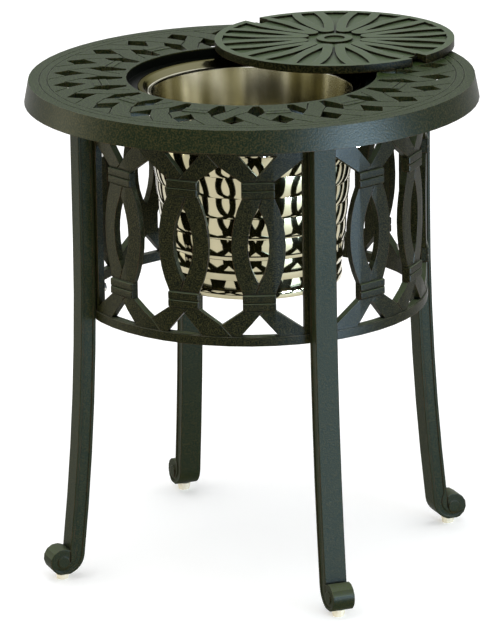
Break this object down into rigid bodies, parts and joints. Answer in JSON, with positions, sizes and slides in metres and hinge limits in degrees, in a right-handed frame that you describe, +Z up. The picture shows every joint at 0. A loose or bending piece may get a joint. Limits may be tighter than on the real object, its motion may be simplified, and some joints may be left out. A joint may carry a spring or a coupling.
{
  "type": "ice bucket coffee table",
  "caption": "Round cast side table with a woven lattice top, an oval fretwork apron, scroll-footed legs, a lift-out steel ice bucket sunk in the middle and a lift-off lid.",
  "frame": {"origin": "on the floor, under the middle of the table", "axes": "+Z up along the table's axis; -Y points at the front leg and +X at the right leg"},
  "size_m": [0.5831, 0.5624, 0.6267],
  "materials": {
    "bronze_casting": "antique bronze powder coat, satin",
    "lid_casting": "antique bronze powder coat, satin",
    "glide_plastic": "matte cream",
    "bolt_steel": "zinc plated",
    "liner_steel": "polished",
    "shell_steel": "polished"
  },
  "bodies": {
    "table": {"table_top": "bronze_casting", "apron_panel_front_right": "bronze_casting", "apron_panel_right_back": "bronze_casting", "apron_panel_back_left": "bronze_casting", "apron_panel_left_front": "bronze_casting", "leg_front": "bronze_casting", "leg_right": "bronze_casting", "leg_back": "bronze_casting", "leg_left": "bronze_casting", "glide_front": "glide_plastic", "glide_right": "glide_plastic", "glide_back": "glide_plastic", "glide_left": "glide_plastic", "top_bolts": "bolt_steel", "top_washers": "bolt_steel", "leg_bolts": "bolt_steel"},
    "bucket": {"bucket_liner": "liner_steel", "bucket_shell": "shell_steel", "bucket_base": "shell_steel"},
    "lid": {"lid": "lid_casting"}
  },
  "joints": [
    {"name": "bucket_lift", "type": "slide", "parent": "table", "child": "bucket", "axis": [0, 0, 1], "range_m": [0, 0.27]},
    {"name": "lid_lift", "type": "slide", "parent": "bucket", "child": "lid", "axis": [0, 0, 1], "range_m": [0, 0.15]}
  ]
}
